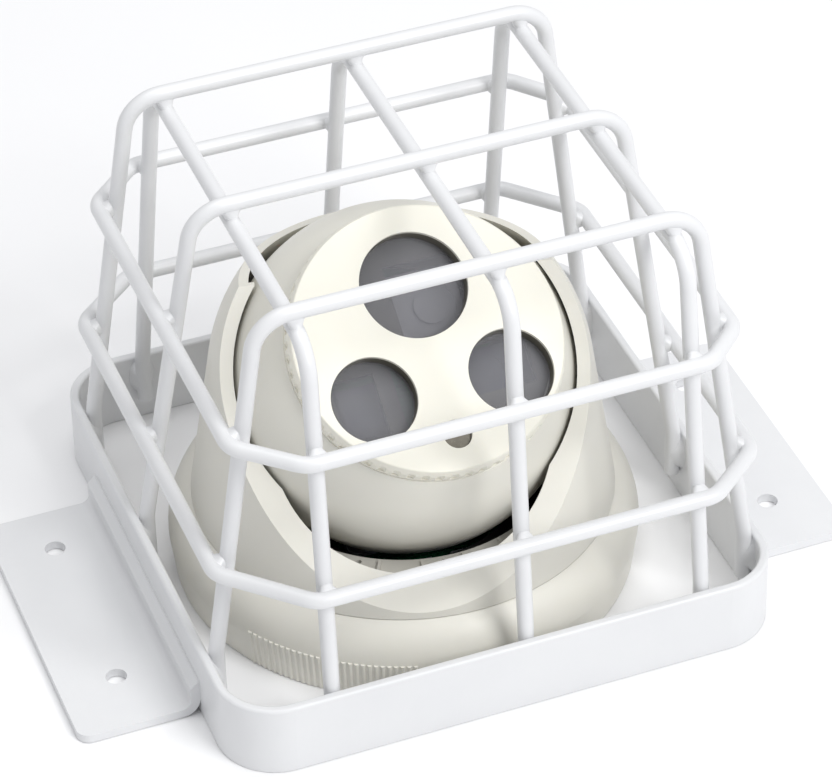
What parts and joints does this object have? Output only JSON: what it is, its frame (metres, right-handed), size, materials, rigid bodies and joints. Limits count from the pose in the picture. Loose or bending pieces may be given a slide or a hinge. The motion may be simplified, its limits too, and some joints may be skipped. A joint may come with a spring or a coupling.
{
  "type": "fire detector in wire guard",
  "caption": "Aimable infrared fire detector: a windowed ball in a slant-cut turret on a round base, under a welded wire guard with bolt-down flanges.",
  "frame": {"origin": "centre of the guard's square footprint, on the wall face", "axes": "+Z away from the wall, +X along the line of the two fixing flanges, -Y the side the detector faces"},
  "size_m": [0.257, 0.18, 0.15],
  "materials": {
    "guard_coat": "smooth powder coat, semi-gloss",
    "housing_ivory": "fine satin moulding",
    "ball_ivory": "fine satin moulding",
    "face_ivory": "fine satin moulding",
    "back_plate_grey": "satin moulding",
    "trim_grey": "satin moulding",
    "cradle_black": "satin moulding",
    "washer_nylon": "smooth",
    "optics_dark": "fine matt",
    "component_black": "fine matt",
    "cell_navy": "glossy",
    "terminal_green": "satin moulding",
    "board_laminate": "solder mask gloss",
    "screw_steel": "zinc plated",
    "grommet_rubber": "matt",
    "window_glass": "polished",
    "light_pipe_clear": "clear diffusing"
  },
  "bodies": {
    "guard_and_base": {"guard_band": "guard_coat", "guard_flange_left": "guard_coat", "guard_flange_right": "guard_coat", "guard_cross_hoop_front": "guard_coat", "guard_cross_hoop_middle": "guard_coat", "guard_cross_hoop_rear": "guard_coat", "guard_long_hoop_left": "guard_coat", "guard_long_hoop_middle": "guard_coat", "guard_long_hoop_right": "guard_coat", "guard_ring_upper": "guard_coat", "guard_ring_lower": "guard_coat", "base_housing": "housing_ivory", "base_back_plate": "back_plate_grey", "base_screws": "screw_steel", "board_screws": "screw_steel", "main_circuit_board": "board_laminate", "board_components": "component_black", "terminal_block": "terminal_green", "cable_grommet": "grommet_rubber"},
    "turret": {"turret_shell": "housing_ivory", "turret_trim_ring": "trim_grey", "pan_retaining_ring": "trim_grey", "pan_ring_screws": "screw_steel", "pan_friction_washer": "washer_nylon", "cradle_keeper_ring": "trim_grey"},
    "cradle": {"ball_cradle": "cradle_black", "trunnion_pins": "screw_steel"},
    "ball": {"ball_front_shell": "ball_ivory", "ball_rear_shell": "ball_ivory", "ball_screws": "screw_steel", "face_plate": "face_ivory", "window_tubes": "optics_dark", "window_main": "window_glass", "window_left": "window_glass", "window_right": "window_glass", "optics_carrier": "optics_dark", "camera_module": "component_black", "infrared_emitter": "cell_navy", "infrared_receiver": "cell_navy", "optics_board": "board_laminate", "light_pipe": "light_pipe_clear", "tilt_washers": "washer_nylon"}
  },
  "joints": [
    {"name": "turret_pan", "type": "hinge", "parent": "guard_and_base", "child": "turret", "pos_m": [-0.004, -0.004, 0.026], "axis": [0, 0, 1], "range_deg": [-170, 170]},
    {"name": "cradle_swivel", "type": "hinge", "parent": "turret", "child": "cradle", "pos_m": [-0.004, -0.004, 0.0215], "axis": [0, 0, 1], "range_deg": [-30, 2]},
    {"name": "ball_tilt", "type": "hinge", "parent": "cradle", "child": "ball", "pos_m": [-0.004, -0.004, 0.0665], "axis": [1, 0, 0], "range_deg": [-24, 20]}
  ]
}
